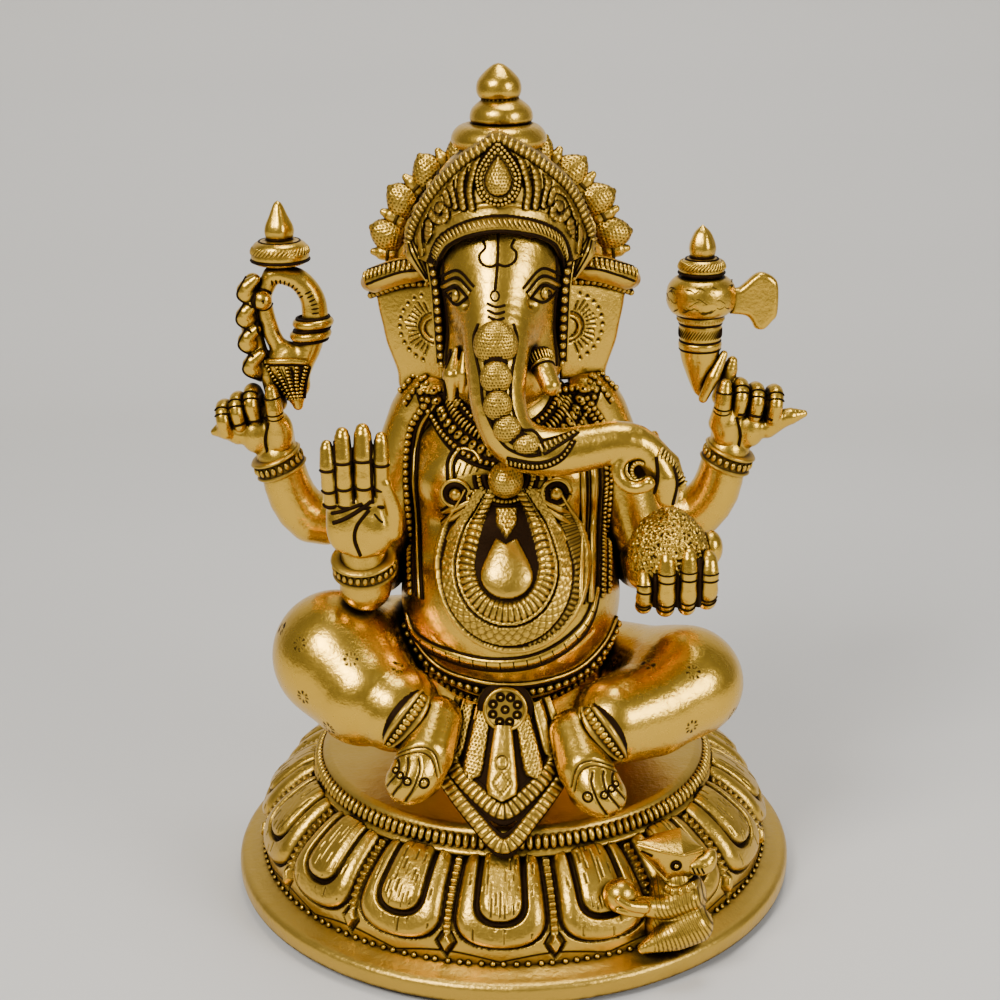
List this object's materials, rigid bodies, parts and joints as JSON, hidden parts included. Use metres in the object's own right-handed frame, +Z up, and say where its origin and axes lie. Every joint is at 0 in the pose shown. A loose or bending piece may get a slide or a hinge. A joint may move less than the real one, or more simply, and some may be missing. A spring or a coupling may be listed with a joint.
{
  "type": "ganesha idol",
  "caption": "Seated elephant-headed deity figure in antiqued brass on a round lotus-petal base, holding a noose, an axe and a sweet, with a small mouse on the rim.",
  "frame": {"origin": "middle of the round base's flat underside, at the bottom centre of the bounding box", "axes": "+Z up through the crown's finial, -Y the way the figure faces, +X to the figure's left, the side its trunk curls to"},
  "size_m": [0.1836, 0.176, 0.25],
  "materials": {
    "cast_skin": "polished high spots over olive-brown mid tones",
    "chased_ornament": "antiqued, with near-black patina left in the chasing",
    "base_metal": "satin, turned and hand polished, dark in the recesses"
  },
  "bodies": {
    "root": {"base_rim": "base_metal", "lotus_base": "base_metal", "seat_slab": "base_metal", "seat_rope_border": "base_metal", "torso": "cast_skin", "waist_belt": "chased_ornament", "belt_buckle": "chased_ornament", "waist_apron": "chased_ornament", "belly_band": "cast_skin", "breast_pendant": "chased_ornament", "chest_boss": "chased_ornament", "collar_necklace": "chased_ornament", "right_shoulder_sash": "chased_ornament", "left_shoulder_sash": "chased_ornament", "right_leg": "cast_skin", "left_leg": "cast_skin", "right_leg_cuff": "chased_ornament", "left_leg_cuff": "chased_ornament", "right_foot": "cast_skin", "left_foot": "cast_skin", "head": "cast_skin", "trunk": "cast_skin", "trunk_bosses": "chased_ornament", "right_tusk": "chased_ornament", "left_tusk": "cast_skin", "right_ear": "cast_skin", "left_ear": "cast_skin", "right_ear_roll": "chased_ornament", "left_ear_roll": "chased_ornament", "crown_dome": "cast_skin", "crown_brow_band": "chased_ornament", "crown_tiara": "chased_ornament", "crown_jewel": "cast_skin", "crown_finial": "cast_skin", "halo_disc": "cast_skin", "halo_petals": "chased_ornament", "right_front_arm": "cast_skin", "right_front_hand": "cast_skin", "right_front_bangle": "chased_ornament", "left_front_arm": "cast_skin", "left_front_hand": "cast_skin", "held_modak": "chased_ornament", "right_rear_arm": "cast_skin", "right_rear_hand": "cast_skin", "right_rear_bracelet": "chased_ornament", "noose": "chased_ornament", "noose_finial": "cast_skin", "left_rear_arm": "cast_skin", "left_rear_hand": "cast_skin", "left_rear_bracelet": "chased_ornament", "axe_shaft": "chased_ornament", "axe_blade": "cast_skin", "axe_finial": "cast_skin", "mouse_body": "cast_skin", "mouse_head": "cast_skin", "mouse_modak": "chased_ornament"}
  },
  "joints": []
}
